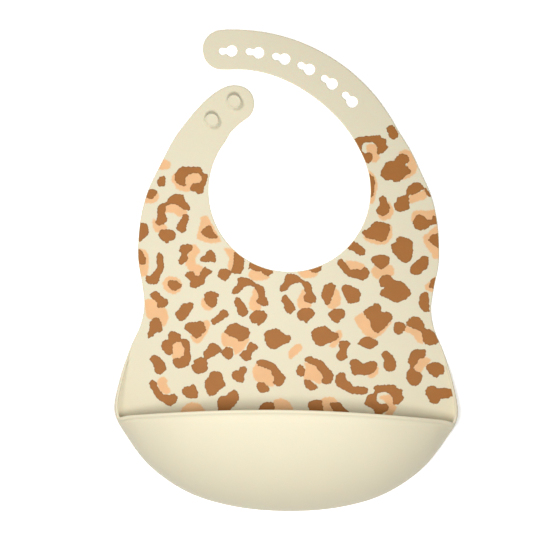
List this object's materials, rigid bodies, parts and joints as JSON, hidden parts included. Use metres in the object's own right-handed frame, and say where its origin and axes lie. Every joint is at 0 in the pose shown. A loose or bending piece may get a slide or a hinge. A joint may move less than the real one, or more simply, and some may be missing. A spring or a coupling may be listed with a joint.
{
  "type": "silicone bib",
  "caption": "Soft moulded baby's bib with a scoop pocket that catches food, a strap with keyholes and a strap with studs that close round the neck.",
  "frame": {"origin": "on the table under the middle of the bib's box, with the bib lying on its back", "axes": "+X towards the strap with keyholes, +Y towards the neck end, +Z out of the front"},
  "size_m": [0.222, 0.311, 0.0402],
  "materials": {
    "cream_silicone": "matte, as moulded",
    "printed_silicone": "matte, printed with spots",
    "stud_silicone": "matte, as moulded"
  },
  "bodies": {
    "pocket_body": {"lower_panel": "printed_silicone", "pocket_wall": "cream_silicone", "pocket_lip_bead": "cream_silicone", "left_side_rim": "cream_silicone", "right_side_rim": "cream_silicone"},
    "chest": {"chest_panel": "printed_silicone"},
    "keyhole_strap_length_1": {"keyhole_strap_1": "cream_silicone"},
    "keyhole_strap_length_2": {"keyhole_strap_2": "cream_silicone"},
    "keyhole_strap_length_3": {"keyhole_strap_3": "cream_silicone"},
    "keyhole_strap_length_4": {"keyhole_strap_4": "cream_silicone"},
    "stud_strap_length_1": {"stud_strap_1": "cream_silicone"},
    "stud_strap_length_2": {"stud_strap_2": "cream_silicone", "stud_end": "stud_silicone", "stud_inner": "stud_silicone"}
  },
  "joints": [
    {"name": "waist_bend", "type": "hinge", "parent": "pocket_body", "child": "chest", "pos_m": [0, -0.024, 0.001], "axis": [1, 0, 0], "range_deg": [-45, 100], "stiffness_Nm_per_rad": 0.01},
    {"name": "keyhole_strap_bend_1", "type": "hinge", "parent": "chest", "child": "keyhole_strap_length_1", "pos_m": [0.04795, 0.09997, 0.001], "axis": [0.7965, 0.6046, 0], "range_deg": [-35, 35], "stiffness_Nm_per_rad": 0.0015},
    {"name": "keyhole_strap_bend_2", "type": "hinge", "parent": "keyhole_strap_length_1", "child": "keyhole_strap_length_2", "pos_m": [0.0315, 0.11718, 0.001], "axis": [0.6401, 0.7683, 0], "range_deg": [-35, 35], "stiffness_Nm_per_rad": 0.0015},
    {"name": "keyhole_strap_bend_3", "type": "hinge", "parent": "keyhole_strap_length_2", "child": "keyhole_strap_length_3", "pos_m": [0.00162, 0.13467, 0.001], "axis": [0.3559, 0.9345, 0], "range_deg": [-35, 35], "stiffness_Nm_per_rad": 0.0015},
    {"name": "keyhole_strap_bend_4", "type": "hinge", "parent": "keyhole_strap_length_3", "child": "keyhole_strap_length_4", "pos_m": [-0.03232, 0.14149, 0.001], "axis": [0.0332, 0.9995, 0], "range_deg": [-35, 35], "stiffness_Nm_per_rad": 0.0015},
    {"name": "stud_strap_bend_1", "type": "hinge", "parent": "chest", "child": "stud_strap_length_1", "pos_m": [-0.06124, 0.07634, 0.001], "axis": [0.9272, -0.3746, 0], "range_deg": [-35, 35], "stiffness_Nm_per_rad": 0.0015},
    {"name": "stud_strap_bend_2", "type": "hinge", "parent": "stud_strap_length_1", "child": "stud_strap_length_2", "pos_m": [-0.05583, 0.08689, 0.001], "axis": [0.8453, -0.5344, 0], "range_deg": [-35, 35], "stiffness_Nm_per_rad": 0.0015}
  ],
  "couplings": [
    {"joint": "keyhole_strap_bend_2", "follows": "keyhole_strap_bend_1", "ratio": 1},
    {"joint": "keyhole_strap_bend_3", "follows": "keyhole_strap_bend_1", "ratio": 1},
    {"joint": "keyhole_strap_bend_4", "follows": "keyhole_strap_bend_1", "ratio": 1},
    {"joint": "stud_strap_bend_2", "follows": "stud_strap_bend_1", "ratio": 1}
  ]
}
